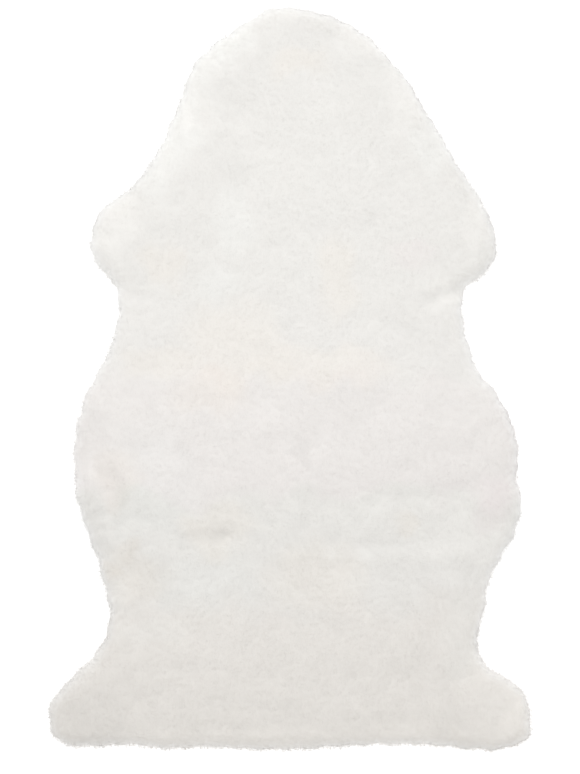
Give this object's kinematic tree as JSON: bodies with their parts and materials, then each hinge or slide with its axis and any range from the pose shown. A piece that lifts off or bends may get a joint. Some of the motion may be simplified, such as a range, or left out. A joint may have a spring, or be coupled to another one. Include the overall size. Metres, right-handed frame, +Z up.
{
  "type": "sheepskin rug",
  "caption": "Sheepskin rug in the skin's natural outline, with short, dense ivory wool on a tanned leather back, lying flat.",
  "frame": {"origin": "on the floor, under the middle of the rug's bounding box", "axes": "+Z up out of the wool, +Y along the backbone to the head end, +X to its right as seen from above"},
  "size_m": [0.586, 0.902, 0.0355],
  "materials": {
    "wool": "matt, short dense shorn wool, ivory with faint cream patches",
    "leather": "matt suede, the tanned flesh side of the skin"
  },
  "bodies": {
    "root": {"sheepskin": "wool"}
  },
  "joints": []
}
